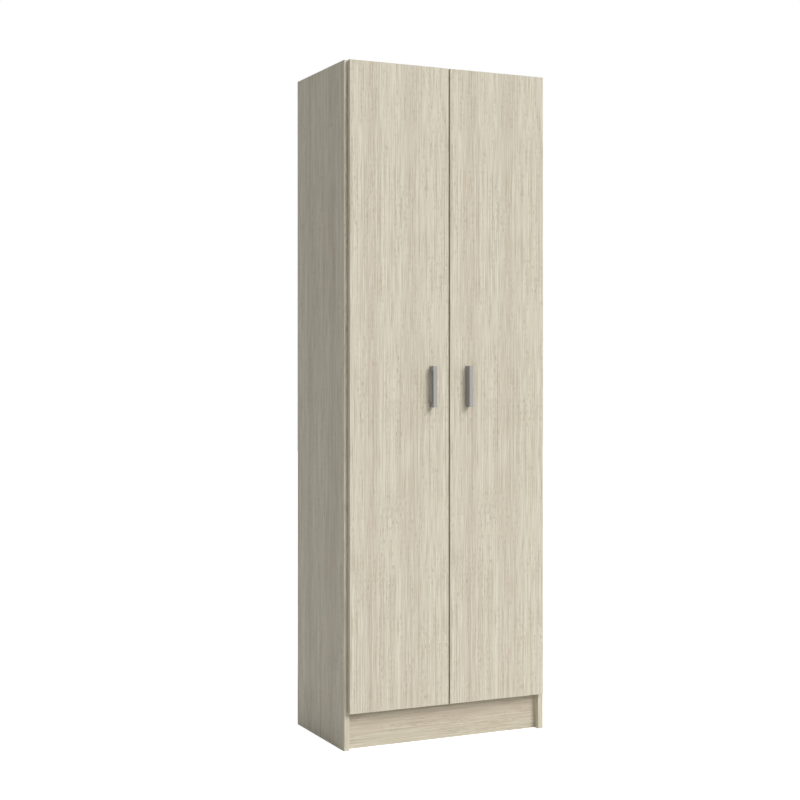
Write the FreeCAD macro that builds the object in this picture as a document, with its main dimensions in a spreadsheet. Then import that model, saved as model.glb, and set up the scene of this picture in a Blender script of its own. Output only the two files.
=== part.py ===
import FreeCAD, Part
import math
import os

import Sketcher

# Two-door utility cabinet of laminated board, 590 x 370 x 1800 mm without its handles.
# Frame: +Z up, +Y to the back, +X to the right as seen from the front. The origin is on the floor
# under the middle of the whole part. Left pieces are modelled, right pieces are their mirror images.
# Hinge pieces use the plane of one hinge: across runs from the door's hinge edge to its middle, and
# inward runs from the door's back face into the cabinet.

SIZES = {
    # Carcass
    "cabinet_width": 590,
    "cabinet_height": 1800,
    "carcass_depth": 352,
    "board_thickness": 15,
    "board_edge_radius": 0.8,
    "fit_clearance": 0.05,
    "joint_clearance": 0.1,
    # Kickboard under the bottom panel
    "kickboard_height": 100,
    "kickboard_recess": 20,
    # Back sheets, their grooves and the strip that joins them
    "back_thickness": 3,
    "back_inset": 10,
    "groove_depth": 6,
    "groove_end_gap": 0.5,
    "strip_height": 24,
    "strip_wall": 1.2,
    # Shelves
    "fixed_shelf_height": 900,
    "shelf_front_setback": 12,
    "shelf_back_gap": 2,
    "shelf_side_gap": 1,
    # Shelf pins and the holes that they sit in
    "pin_radius": 2.5,
    "pin_shelf_length": 8,
    "pin_hole_depth": 10,
    "pin_end_gap": 0.5,
    "pin_collar_radius": 4,
    "pin_collar_thickness": 0.8,
    "pin_row_inset": 37,
    # Cam bolts, cam locks and dowels between the boards
    "connector_inset": 50,
    "cam_radius": 7.5,
    "cam_height": 12,
    "cam_distance": 34,
    "cam_slot_width": 1.6,
    "cam_slot_depth": 1.5,
    "bolt_radius": 3,
    "bolt_thread_radius": 2.4,
    "bolt_thread_length": 10,
    "dowel_radius": 4,
    "dowel_length": 30,
    "dowel_side_depth": 10,
    "kickboard_dowel_height": 30,
    # Doors
    "door_thickness": 15,
    "door_standoff": 3,
    "door_inset": 9,
    "door_gap": 4.4,
    "door_bottom_height": 98.5,
    "door_top_reveal": 0.5,
    "bumper_radius": 4,
    "bumper_clearance": 0.3,
    "bumper_edge_distance": 20,
    # Handles: an angle profile with two screw bosses inside it
    "handle_length": 110,
    "handle_width": 10.5,
    "handle_projection": 25,
    "handle_plate": 3,
    "handle_flange": 2.5,
    "handle_edge_radius": 0.8,
    "handle_hole_spacing": 96,
    "handle_boss_height": 13,
    "handle_middle_height": 948.5,
    "handle_side_distance": 48,
    "handle_screw_radius": 2,
    "handle_screw_reach": 9,
    "handle_screw_head_radius": 4,
    "handle_screw_head_height": 2,
    # Hinge cup, sunk in the back of the door
    "hinge_end_distance": 100,
    "cup_radius": 17.5,
    "cup_depth": 11.6,
    "cup_wall": 0.7,
    "cup_floor": 0.7,
    "cup_edge_distance": 3,
    "flange_radius": 19,
    "flange_thickness": 1.2,
    "wing_offset": 9.5,
    "wing_radius": 5.5,
    "wing_reach": 24,
    "cup_screw_radius": 1.7,
    "cup_screw_length": 10,
    "cup_screw_head_radius": 3.4,
    "cup_screw_head_height": 1.4,
    # Hinge pin and the bent arm that turns on it
    "hinge_axis_across": 7,
    "hinge_axis_depth": 8.6,
    "hinge_pin_radius": 1.2,
    "hinge_pin_half_length": 8.9,
    "eye_radius": 2,
    "arm_thickness": 2,
    "arm_width": 10,
    "arm_bend": 1.5,
    "arm_reach": 11.5,
    "arm_door_clearance": 4.2,
    "arm_end": 62,
    "channel_start": 17,
    "channel_width": 16,
    "channel_lip": 4,
    "channel_wall": 1.4,
    # Mounting plate on the side panel
    "plate_thickness": 3,
    "plate_width": 18,
    "plate_start": 20,
    "plate_wing_radius": 7,
    "plate_hole_spacing": 32,
    "plate_wing_gap": 0.5,
    "plate_screw_radius": 2.5,
    "plate_screw_depth": 11,
    "plate_screw_head_radius": 3.8,
    "plate_screw_head_height": 1.8,
    "arm_screw_inset": 10,
    "arm_screw_radius": 2,
    "arm_screw_head_radius": 4,
    "arm_screw_head_height": 2,
    "adjuster_hole_inset": 36,
    # Wall bracket under the top panel
    "bracket_leg": 30,
    "bracket_width": 30,
    "bracket_thickness": 2,
    "bracket_hole_radius": 2.75,
    "bracket_screw_radius": 2,
    "bracket_screw_length": 11,
    "bracket_screw_head_radius": 4,
    "bracket_screw_head_height": 2.2,
    # One overrun serves all cuts that pass a face
    "overrun": 1,
}

doc = FreeCAD.newDocument("UtilityCabinet")
sheet = doc.addObject("Spreadsheet::Sheet", "Sizes")
for row, (alias, number) in enumerate(SIZES.items(), start=1):
    sheet.set(f"A{row}", alias)
    sheet.set(f"B{row}", str(number))
    sheet.setAlias(f"B{row}", alias)
doc.recompute()


class Length:
    """A length with the sheet formula that gives it."""

    def __init__(self, value, formula):
        self.value = value
        self.formula = formula

    def __add__(self, other):
        return Length(self.value + other.value, f"({self.formula} + {other.formula})")

    def __sub__(self, other):
        return Length(self.value - other.value, f"({self.formula} - {other.formula})")

    def __mul__(self, share):
        return Length(self.value * share, f"({self.formula} * {share})")

    def __neg__(self):
        return self * -1


class Named:
    """The sheet's sizes by name."""


s = Named()
for alias in SIZES:
    setattr(s, alias, Length(float(sheet.get(alias)), f"Sizes.{alias}"))
ZERO = Length(0, "0")
HALF_SHARE = 0.5
THIRD_SHARE = 1 / 3
CAM_SLOT_SHARE = 0.7

# How far a quarter turn stands off its chord, as a share of half the chord
QUARTER_BULGE_SHARE = math.sqrt(2) - 1

# Small round pieces and their holes are drawn with this many flat sides, to keep the model light.
# The hinge pins, the holes that turn on them and the wall screw's holes are true cylinders.
HIDDEN_SIDES = 6
WING_SIDES = 8
CUP_SIDES = 16

# The radius of an eight-sided hole as a share of the round pin that fits in it
ROUND_IN_EIGHT_SHARE = 1 / math.cos(math.pi / WING_SIDES)

# Two vertices closer than this lie in one plane
TOUCHING = 1e-6

# Places in the whole cabinet
side_x = s.cabinet_width * HALF_SHARE
inner_x = side_x - s.board_thickness
half_depth = (s.carcass_depth + s.door_standoff + s.door_thickness + s.handle_projection) * HALF_SHARE
back_y = half_depth
carcass_y = back_y - s.carcass_depth
door_back_y = carcass_y - s.door_standoff
door_front_y = door_back_y - s.door_thickness
handle_front_y = door_front_y - s.handle_projection
sheet_back_y = back_y - s.back_inset
sheet_front_y = sheet_back_y - s.back_thickness
top_z = s.cabinet_height
ceiling_z = top_z - s.board_thickness
bottom_z = s.kickboard_height
floor_z = bottom_z + s.board_thickness
door_edge_x = s.door_inset - side_x
door_free_x = s.door_gap * -HALF_SHARE
door_top_z = top_z - s.door_top_reveal
door_middle_z = (door_top_z + s.door_bottom_height) * HALF_SHARE
hinge_heights = [
    s.door_bottom_height + s.hinge_end_distance,
    door_middle_z,
    door_top_z - s.hinge_end_distance,
]


# Building blocks
def bind(thing, name, length):
    thing.setExpression(name, length.formula)


def place(thing, point):
    for letter, length in zip("xyz", point):
        bind(thing, "Placement.Base." + letter, length)


def box(name, low, high):
    """A box between two corners."""
    solid = doc.addObject("Part::Box", name)
    for side, start, end in zip(("Length", "Width", "Height"), low, high):
        bind(solid, side, end - start)
    place(solid, low)
    return solid


TURNS = {
    "x": FreeCAD.Rotation(FreeCAD.Vector(0, 1, 0), 90),
    "y": FreeCAD.Rotation(FreeCAD.Vector(1, 0, 0), -90),
    "z": FreeCAD.Rotation(),
}


def rod(name, radius, start, direction, length, sides=None):
    """A cylinder that runs from its start along one positive direction. Where sides are given, the
    regular prism that fits in that cylinder."""
    if sides:
        solid = doc.addObject("Part::Prism", name)
        solid.Polygon = sides
        bind(solid, "Circumradius", radius)
    else:
        solid = doc.addObject("Part::Cylinder", name)
        bind(solid, "Radius", radius)
    solid.Placement.Rotation = TURNS[direction]
    bind(solid, "Height", length)
    place(solid, start)
    return solid


def fuse(name, pieces):
    joined = doc.addObject("Part::MultiFuse", name)
    joined.Shapes = pieces
    joined.Refine = True
    return joined


def group(name, pieces):
    together = doc.addObject("Part::Compound", name)
    together.Links = pieces
    return together


def cut(name, base, tools):
    """The base less its tools, which may cross each other."""
    result = doc.addObject("Part::Cut", name)
    result.Base = base
    result.Tool = tools[0] if len(tools) == 1 else fuse(name + "_tools", tools)
    return result


def mirror(name, source):
    """The same piece on the other side of the cabinet's middle plane."""
    image = doc.addObject("Part::Mirroring", name)
    image.Source = source
    image.Normal = FreeCAD.Vector(1, 0, 0)
    return image


def origin_plane(body, role):
    for feature in body.Origin.OriginFeatures:
        if feature.Role == role:
            return feature
    raise RuntimeError(f"{body.Name} has no {role}")


def sketch_outline(body, name, role, points, arcs=None):
    """A closed outline on one of the body's planes. Arcs gives, for a point's number, the radius of
    the quarter turn from it to the next point and whether it turns left."""
    arcs = arcs or {}
    sketch = body.newObject("Sketcher::SketchObject", name)
    sketch.AttachmentSupport = (origin_plane(body, role), [""])
    sketch.MapMode = "FlatFace"
    corners = [FreeCAD.Vector(first.value, second.value, 0) for first, second in points]
    ends = []
    for number, start in enumerate(corners):
        finish = corners[(number + 1) % len(corners)]
        if number in arcs:
            sketch.addGeometry(quarter_turn(start, finish, arcs[number][1]), False)
        else:
            sketch.addGeometry(Part.LineSegment(start, finish), False)
        to_first, to_second = ((sketch.getPoint(number, end) - start).Length for end in (1, 2))
        ends.append((1, 2) if to_first < to_second else (2, 1))
    for number, (first, second) in enumerate(points):
        following = (number + 1) % len(points)
        joint = ("Coincident", number, ends[number][1], following, ends[following][0])
        sketch.addConstraint(Sketcher.Constraint(*joint))
        for kind, length in (("DistanceX", first), ("DistanceY", second)):
            constrain(sketch, length, kind, -1, 1, number, ends[number][0])
        if number in arcs:
            constrain(sketch, arcs[number][0], "Radius", number)
    return sketch


def constrain(sketch, length, kind, *where):
    index = sketch.addConstraint(Sketcher.Constraint(kind, *where, length.value))
    sketch.setExpression(f"Constraints[{index}]", length.formula)


def quarter_turn(start, finish, turns_left):
    """The arc of a quarter circle from start to finish."""
    middle = (start + finish) * HALF_SHARE
    half = (finish - start) * HALF_SHARE
    across = FreeCAD.Vector(half.y, -half.x, 0) if turns_left else FreeCAD.Vector(-half.y, half.x, 0)
    return Part.Arc(start, middle + across * QUARTER_BULGE_SHARE, finish)


def pad(body, name, sketch, length, symmetric=False, back=False):
    feature = body.newObject("PartDesign::Pad", name)
    feature.Profile = sketch
    feature.SideType = "Symmetric" if symmetric else "One side"
    feature.Reversed = back
    bind(feature, "Length", length)
    return feature


def edges_where(feature, test):
    """Names of the feature's edges whose two ends both pass the test."""
    names = []
    for number, edge in enumerate(feature.Shape.Edges, start=1):
        if all(test(vertex.Point) for vertex in edge.Vertexes):
            names.append(f"Edge{number}")
    return names


EASING_SIZES = {"Fillet": "Radius", "Chamfer": "Size"}


def ease_edges(body, name, feature, kind, test):
    """Takes the edges that pass the test off with a fillet or a chamfer."""
    doc.recompute()
    eased = body.newObject("PartDesign::" + kind, name)
    eased.Base = (feature, edges_where(feature, test))
    bind(eased, EASING_SIZES[kind], s.board_edge_radius)
    return eased


def board(name, low, high, kind):
    """A board as a padded rectangle whose two front edges are eased."""
    body = doc.addObject("PartDesign::Body", name)
    place(body, low)
    wide, deep, thick = (end - start for start, end in zip(low, high))
    corners = [(ZERO, ZERO), (wide, ZERO), (wide, deep), (ZERO, deep)]
    sketch = sketch_outline(body, name + "_outline", "XY_Plane", corners)
    solid = pad(body, name + "_pad", sketch, thick)
    body.Tip = ease_edges(body, name + "_easing", solid, kind, lambda point: near(point.y, 0))
    return body


def near(one, other):
    return abs(one - other) < TOUCHING


# Fasteners that hold the boards together
front_connector_y = carcass_y + s.connector_inset
rear_connector_y = sheet_front_y - s.connector_inset
connector_rows = [front_connector_y, rear_connector_y]
dowel_row_y = (front_connector_y + rear_connector_y) * HALF_SHARE
ENDS = (("left", -1), ("right", 1))
half_board = s.board_thickness * HALF_SHARE
panel_levels = {
    "bottom": bottom_z + half_board,
    "shelf": s.fixed_shelf_height + half_board,
    "top": ceiling_z + half_board,
}


def cam_holes(level_name, level):
    """Cuts for cam locks, cam bolts and dowels in one fixed board, both ends."""
    tools = []
    underside = level - half_board
    cam_x = inner_x - s.cam_distance
    bolt_hole_radius = s.bolt_radius + s.fit_clearance
    for end, sign in ENDS:
        for row_name, row in zip(("front", "rear"), connector_rows):
            hole = f"{level_name}_{row_name}_{end}"
            centre = (cam_x * sign, row, underside - s.overrun)
            depth = s.cam_height + s.overrun + s.joint_clearance
            tools.append(rod(hole + "_cam_hole", s.cam_radius, centre, "z", depth, WING_SIDES))
            start_x = cam_x if sign > 0 else -inner_x - s.overrun
            reach = s.cam_distance + s.overrun
            bolt_start = (start_x, row, level)
            tools.append(rod(hole + "_bolt_hole", bolt_hole_radius, bolt_start, "x", reach, HIDDEN_SIDES))
        tools.append(dowel_hole(f"{level_name}_{end}_dowel_hole", sign, dowel_row_y, level))
    return tools


def dowel_hole(name, sign, row, level):
    """The cut for a dowel in the end of a board."""
    depth = s.dowel_length - s.dowel_side_depth + s.joint_clearance
    start_x = inner_x - depth if sign > 0 else -inner_x - s.overrun
    radius = s.dowel_radius + s.fit_clearance
    return rod(name, radius, (start_x, row, level), "x", depth + s.overrun, HIDDEN_SIDES)


def dowel(name, sign, row, level):
    inside = s.dowel_length - s.dowel_side_depth
    start_x = inner_x - inside if sign > 0 else -inner_x - s.dowel_side_depth
    return rod(name, s.dowel_radius, (start_x, row, level), "x", s.dowel_length, HIDDEN_SIDES)


def cam_lock(name, centre_x, row, level, sign):
    """A round cam with the bore that takes the bolt's head and a slot for the driver."""
    underside = level - half_board
    centre = (centre_x, row, underside)
    body = rod(name + "_disc", s.cam_radius - s.fit_clearance, centre, "z", s.cam_height, WING_SIDES)
    reach = s.cam_radius + s.overrun
    bore_x = centre_x if sign > 0 else centre_x - reach
    bore_radius = s.bolt_radius + s.joint_clearance
    bore = rod(name + "_bore", bore_radius, (bore_x, row, level), "x", reach, HIDDEN_SIDES)
    half_width = s.cam_slot_width * HALF_SHARE
    half_length = s.cam_radius * CAM_SLOT_SHARE
    low = (centre_x - half_width, row - half_length, underside - s.overrun)
    high = (centre_x + half_width, row + half_length, underside + s.cam_slot_depth)
    return cut(name, body, [bore, box(name + "_slot", low, high)])


def cam_bolt(name, row, level, sign):
    """A bolt from the middle of its cam to the thread in the side panel."""
    cam_x = inner_x - s.cam_distance
    shank_x = cam_x if sign > 0 else -inner_x
    shank_start = (shank_x, row, level)
    shank = rod(name + "_shank", s.bolt_radius, shank_start, "x", s.cam_distance, HIDDEN_SIDES)
    thread_length = s.bolt_thread_length
    thread_x = inner_x if sign > 0 else -inner_x - thread_length
    thread_start = (thread_x, row, level)
    thread_radius = s.bolt_thread_radius
    thread = rod(name + "_thread", thread_radius, thread_start, "x", thread_length, HIDDEN_SIDES)
    return fuse(name, [shank, thread])


def board_fasteners():
    """Cam locks, cam bolts and dowels of the three fixed boards."""
    locks, bolts, dowels = [], [], []
    cam_x = inner_x - s.cam_distance
    for level_name, level in panel_levels.items():
        for end, sign in ENDS:
            for row_name, row in zip(("front", "rear"), connector_rows):
                name = f"{level_name}_{row_name}_{end}"
                locks.append(cam_lock(name + "_cam", cam_x * sign, row, level, sign))
                bolts.append(cam_bolt(name + "_bolt", row, level, sign))
            dowels.append(dowel(f"{level_name}_{end}_dowel", sign, dowel_row_y, level))
    return group("cam_locks", locks), group("cam_bolts", bolts), group("panel_dowels", dowels)


kickboard_front_y = carcass_y + s.kickboard_recess
kickboard_middle_y = kickboard_front_y + half_board
kickboard_dowel_levels = [s.kickboard_dowel_height, bottom_z - s.kickboard_dowel_height]


def kickboard_fasteners():
    dowels = []
    for level_name, level in zip(("low", "high"), kickboard_dowel_levels):
        for end, sign in ENDS:
            dowels.append(dowel(f"kickboard_{level_name}_{end}_dowel", sign, kickboard_middle_y, level))
    return group("kickboard_dowels", dowels)


# Loose shelves, which part their compartments evenly, and the pins that carry them
fixed_shelf_top_z = s.fixed_shelf_height + s.board_thickness
lower_room = s.fixed_shelf_height - floor_z - s.board_thickness
upper_room = ceiling_z - fixed_shelf_top_z - s.board_thickness * 2
shelf_undersides = {
    "lower": floor_z + lower_room * HALF_SHARE,
    "upper": fixed_shelf_top_z + upper_room * THIRD_SHARE,
    "top": ceiling_z - upper_room * THIRD_SHARE - s.board_thickness,
}
pin_rows = [carcass_y + s.pin_row_inset, sheet_front_y - s.pin_row_inset]


def pin_level(underside):
    return underside - s.pin_radius - s.fit_clearance


def shelf_pin(name, row, underside, sign):
    """A shank in the side panel, a collar against it and a peg under the shelf."""
    level = pin_level(underside)
    hidden = s.pin_hole_depth - s.pin_end_gap
    start_x = inner_x - s.pin_shelf_length if sign > 0 else -inner_x - hidden
    length = hidden + s.pin_shelf_length
    shank = rod(name + "_shank", s.pin_radius, (start_x, row, level), "x", length, HIDDEN_SIDES)
    thick = s.pin_collar_thickness
    collar_x = inner_x - thick if sign > 0 else -inner_x
    collar_start = (collar_x, row, level)
    collar = rod(name + "_collar", s.pin_collar_radius, collar_start, "x", thick, HIDDEN_SIDES)
    return fuse(name, [shank, collar])


def shelf_pins():
    """Four pins for each loose shelf."""
    pins = []
    for shelf_name, underside in shelf_undersides.items():
        for row_name, row in zip(("front", "rear"), pin_rows):
            for end, sign in ENDS:
                pins.append(shelf_pin(f"{shelf_name}_{row_name}_{end}_pin", row, underside, sign))
    return group("shelf_pins", pins)


# Carcass boards
def side_panel():
    """The left side panel with its groove, joint holes, shelf pin holes and hinge plate holes."""
    low = (-side_x, carcass_y, ZERO)
    high = (-inner_x, back_y, top_z)
    panel = board("side_board", low, high, "Fillet")
    groove_low = (-inner_x - s.groove_depth, sheet_front_y - s.joint_clearance, -s.overrun)
    groove_high = (-inner_x + s.overrun, sheet_back_y + s.joint_clearance, top_z + s.overrun)
    tools = [box("side_groove", groove_low, groove_high)]

    def inner_hole(name, radius, depth, row, level):
        start = (-inner_x - depth, row, level)
        width = radius + s.fit_clearance
        tools.append(rod(name, width, start, "x", depth + s.overrun, HIDDEN_SIDES))

    thread_depth = s.bolt_thread_length + s.joint_clearance
    dowel_depth = s.dowel_side_depth + s.joint_clearance
    screw_depth = s.plate_screw_depth + s.joint_clearance
    for level_name, level in panel_levels.items():
        for number, row in enumerate(connector_rows):
            inner_hole(f"side_{level_name}_thread_{number}", s.bolt_thread_radius, thread_depth, row, level)
        inner_hole(f"side_{level_name}_dowel", s.dowel_radius, dowel_depth, dowel_row_y, level)
    for number, level in enumerate(kickboard_dowel_levels):
        inner_hole(f"side_kick_dowel_{number}", s.dowel_radius, dowel_depth, kickboard_middle_y, level)
    for shelf_name, underside in shelf_undersides.items():
        for number, row in enumerate(pin_rows):
            name = f"side_{shelf_name}_pin_{number}"
            inner_hole(name, s.pin_radius, s.pin_hole_depth, row, pin_level(underside))
    for number, middle in enumerate(hinge_heights):
        for letter, sign in SIDES_OF_A_HINGE:
            level = middle + s.plate_hole_spacing * (HALF_SHARE * sign)
            name = f"side_plate_{number}_{letter}"
            inner_hole(name, s.plate_screw_radius, screw_depth, plate_row_y, level)
    return cut("left_side_panel", panel, tools)


def fixed_board(name, level_name, underside, back, grooves=()):
    """A board between the side panels with its connector holes and any groove for a back sheet."""
    low = (-inner_x, carcass_y, underside)
    high = (inner_x, back, underside + s.board_thickness)
    panel = board(name + "_board", low, high, "Chamfer")
    tools = cam_holes(level_name, panel_levels[level_name])
    for groove_low_z, groove_high_z in grooves:
        groove_low = (-inner_x - s.overrun, sheet_front_y - s.joint_clearance, groove_low_z)
        groove_high = (inner_x + s.overrun, sheet_back_y + s.joint_clearance, groove_high_z)
        tools.append(box(name + "_groove", groove_low, groove_high))
    return cut(name, panel, tools)


def top_panel():
    grooves = [(ceiling_z - s.overrun, ceiling_z + s.groove_depth)]
    panel = fixed_board("drilled_top", "top", ceiling_z, back_y, grooves)
    start = (ZERO, bracket_screw_y, ceiling_z - s.overrun)
    depth = s.bracket_screw_length + s.overrun
    radius = s.bracket_screw_radius + s.fit_clearance
    return cut("top_panel", panel, [rod("top_bracket_hole", radius, start, "z", depth, HIDDEN_SIDES)])


def kickboard():
    low = (-inner_x, kickboard_front_y, ZERO)
    high = (inner_x, kickboard_front_y + s.board_thickness, bottom_z)
    tools = []
    for level_name, level in zip(("low", "high"), kickboard_dowel_levels):
        for end, sign in ENDS:
            tools.append(dowel_hole(f"kickboard_{level_name}_{end}_hole", sign, kickboard_middle_y, level))
    return cut("kickboard", box("kickboard_blank", low, high), tools)


def loose_shelf(name, underside):
    half_width = inner_x - s.shelf_side_gap
    low = (-half_width, carcass_y + s.shelf_front_setback, underside)
    high = (half_width, sheet_front_y - s.shelf_back_gap, underside + s.board_thickness)
    return board(name, low, high, "Chamfer")


# Back sheets and their strip
strip_z = s.fixed_shelf_height + half_board
strip_front_y = sheet_front_y - s.joint_clearance - s.strip_wall
strip_back_y = sheet_back_y + s.joint_clearance + s.strip_wall
sheet_half_width = inner_x + s.groove_depth - s.groove_end_gap


def back_sheets():
    web_half = s.strip_wall * HALF_SHARE + s.joint_clearance
    seat = s.groove_depth - s.groove_end_gap
    lower_low = (-sheet_half_width, sheet_front_y, floor_z - seat)
    lower_high = (sheet_half_width, sheet_back_y, strip_z - web_half)
    lower = box("lower_back_panel", lower_low, lower_high)
    upper_low = (-sheet_half_width, sheet_front_y, strip_z + web_half)
    upper_high = (sheet_half_width, sheet_back_y, ceiling_z + seat)
    blank = box("upper_back_blank", upper_low, upper_high)
    start = (ZERO, sheet_front_y - s.overrun, wall_hole_z)
    through = s.back_thickness + s.overrun * 2
    hole = rod("wall_screw_hole", s.bracket_hole_radius, start, "y", through)
    return lower, cut("upper_back_panel", blank, [hole])


def back_strip():
    """An H section: two flanges that hold both sheets and the web between them."""
    half_height = s.strip_height * HALF_SHARE
    half_web = s.strip_wall * HALF_SHARE
    front_low = (-inner_x, strip_front_y, strip_z - half_height)
    front_high = (inner_x, strip_front_y + s.strip_wall, strip_z + half_height)
    back_low = (-inner_x, strip_back_y - s.strip_wall, strip_z - half_height)
    back_high = (inner_x, strip_back_y, strip_z + half_height)
    web_low = (-inner_x, strip_front_y, strip_z - half_web)
    web_high = (inner_x, strip_back_y, strip_z + half_web)
    front = box("strip_front", front_low, front_high)
    back = box("strip_back", back_low, back_high)
    web = box("strip_web", web_low, web_high)
    return fuse("back_joining_strip", [front, back, web])


# Wall bracket: an angle under the top panel, against the back sheet
bracket_screw_y = sheet_front_y - s.bracket_leg * HALF_SHARE
wall_hole_z = ceiling_z - s.bracket_leg * HALF_SHARE


def wall_bracket():
    half_width = s.bracket_width * HALF_SHARE
    leg_y = sheet_front_y - s.bracket_thickness
    upper_low = (-half_width, sheet_front_y - s.bracket_leg, ceiling_z - s.bracket_thickness)
    upper_high = (half_width, sheet_front_y, ceiling_z)
    lower_low = (-half_width, leg_y, ceiling_z - s.bracket_leg)
    lower_high = (half_width, sheet_front_y, ceiling_z)
    top_leg = box("bracket_top", upper_low, upper_high)
    back_leg = box("bracket_back", lower_low, lower_high)
    legs = fuse("bracket_legs", [top_leg, back_leg])
    screw_start = (ZERO, bracket_screw_y, ceiling_z - s.bracket_thickness - s.overrun)
    wall_start = (ZERO, leg_y - s.overrun, wall_hole_z)
    through = s.bracket_thickness + s.overrun * 2
    screw_radius = s.bracket_screw_radius + s.fit_clearance
    screw_hole = rod("bracket_screw_hole", screw_radius, screw_start, "z", through, HIDDEN_SIDES)
    wall_hole = rod("bracket_wall_hole", s.bracket_hole_radius, wall_start, "y", through)
    return cut("wall_bracket", legs, [screw_hole, wall_hole])


def bracket_screw():
    head_z = ceiling_z - s.bracket_thickness - s.bracket_screw_head_height
    head_start = (ZERO, bracket_screw_y, head_z)
    head_height = s.bracket_screw_head_height
    head = rod("bracket_screw_head", s.bracket_screw_head_radius, head_start, "z", head_height, WING_SIDES)
    length = s.bracket_thickness + s.bracket_screw_length
    shank_start = (ZERO, bracket_screw_y, ceiling_z - s.bracket_thickness)
    shank = rod("bracket_screw_shank", s.bracket_screw_radius, shank_start, "z", length, HIDDEN_SIDES)
    return fuse("bracket_screw", [head, shank])


# Handles
handle_high_x = -s.handle_side_distance
handle_low_x = handle_high_x - s.handle_width
handle_hole_x = (handle_low_x + handle_high_x - s.handle_flange) * HALF_SHARE
handle_hole_levels = [
    s.handle_middle_height - s.handle_hole_spacing * HALF_SHARE,
    s.handle_middle_height + s.handle_hole_spacing * HALF_SHARE,
]


def handle():
    """An angle profile: the plate that the hand pulls, the flange on the side of the door's free
    edge, and two bosses inside the angle that the screws reach."""
    body = doc.addObject("PartDesign::Body", "handle_profile")
    lift = s.handle_middle_height - s.handle_length * HALF_SHARE
    place(body, (handle_low_x, handle_front_y, lift))
    wide, deep, radius = s.handle_width, s.handle_projection, s.handle_edge_radius
    flange_x = wide - s.handle_flange
    points = [
        (radius, ZERO),
        (wide - radius, ZERO),
        (wide, radius),
        (wide, deep),
        (flange_x, deep),
        (flange_x, s.handle_plate),
        (ZERO, s.handle_plate),
        (ZERO, radius),
    ]
    arcs = {1: (radius, True), 7: (radius, True)}
    sketch = sketch_outline(body, "handle_outline", "XY_Plane", points, arcs)
    body.Tip = pad(body, "handle_pad", sketch, s.handle_length)
    pieces = [body]
    for number, level in enumerate(handle_hole_levels):
        half_height = s.handle_boss_height * HALF_SHARE
        low = (handle_low_x + s.handle_edge_radius, handle_front_y + s.handle_plate, level - half_height)
        high = (handle_high_x - s.handle_flange, door_front_y, level + half_height)
        pieces.append(box(f"handle_boss_{number}", low, high))
    holes = []
    for number, level in enumerate(handle_hole_levels):
        reach = s.handle_screw_reach + s.joint_clearance
        start = (handle_hole_x, door_front_y - reach, level)
        radius = s.handle_screw_radius + s.fit_clearance
        holes.append(rod(f"handle_hole_{number}", radius, start, "y", reach + s.overrun, HIDDEN_SIDES))
    return cut("left_handle", fuse("handle_solid", pieces), holes)


def handle_screws():
    screws = []
    for number, level in enumerate(handle_hole_levels):
        start = (handle_hole_x, door_front_y - s.handle_screw_reach, level)
        length = s.handle_screw_reach + s.door_thickness
        name = f"handle_screw_{number}"
        shank = rod(name + "_shank", s.handle_screw_radius, start, "y", length, HIDDEN_SIDES)
        head_start = (handle_hole_x, door_back_y, level)
        head_height = s.handle_screw_head_height
        head = rod(name + "_head", s.handle_screw_head_radius, head_start, "y", head_height, WING_SIDES)
        screws.append(fuse(name, [shank, head]))
    return group("left_handle_screws", screws)


# Doors
SIDES_OF_A_HINGE = (("a", -1), ("b", 1))
cup_x = door_edge_x + s.cup_edge_distance + s.cup_radius
wing_x = cup_x + s.wing_offset
bumper_x = door_free_x - s.bumper_edge_distance
bumper_levels = {"low": bottom_z + half_board, "high": ceiling_z + half_board}


def door():
    """The left door with its cup bores and the holes for cup screws and handle screws."""
    low = (door_edge_x, door_back_y, s.door_bottom_height)
    high = (door_free_x, door_front_y, door_top_z)
    body = doc.addObject("PartDesign::Body", "door_board")
    place(body, low)
    wide = high[0] - low[0]
    tall = high[2] - low[2]
    corners = [(ZERO, ZERO), (wide, ZERO), (wide, tall), (ZERO, tall)]
    sketch = sketch_outline(body, "door_outline", "XZ_Plane", corners)
    solid = pad(body, "door_pad", sketch, s.door_thickness)
    front = -s.door_thickness.value
    body.Tip = ease_edges(body, "door_easing", solid, "Fillet", lambda point: near(point.y, front))
    tools = []
    for number, level in enumerate(hinge_heights):
        depth = s.cup_depth + s.joint_clearance
        start = (cup_x, door_back_y - depth, level)
        radius = s.cup_radius + s.fit_clearance
        tools.append(rod(f"cup_bore_{number}", radius, start, "y", depth + s.overrun, CUP_SIDES))
        depth = s.cup_screw_length + s.joint_clearance
        radius = s.cup_screw_radius + s.fit_clearance
        for letter, sign in SIDES_OF_A_HINGE:
            start = (wing_x, door_back_y - depth, level + s.wing_reach * sign)
            name = f"cup_screw_hole_{number}_{letter}"
            tools.append(rod(name, radius, start, "y", depth + s.overrun, HIDDEN_SIDES))
    for number, level in enumerate(handle_hole_levels):
        start = (handle_hole_x, door_front_y - s.overrun, level)
        through = s.door_thickness + s.overrun * 2
        radius = s.handle_screw_radius + s.fit_clearance
        tools.append(rod(f"door_handle_hole_{number}", radius, start, "y", through, HIDDEN_SIDES))
    return cut("left_door", body, tools)


def door_bumpers():
    bumpers = []
    for name, level in bumper_levels.items():
        start = (bumper_x, door_back_y, level)
        thick = s.door_standoff - s.bumper_clearance
        bumpers.append(rod(f"bumper_{name}", s.bumper_radius, start, "y", thick, WING_SIDES))
    return group("left_door_bumpers", bumpers)


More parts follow.
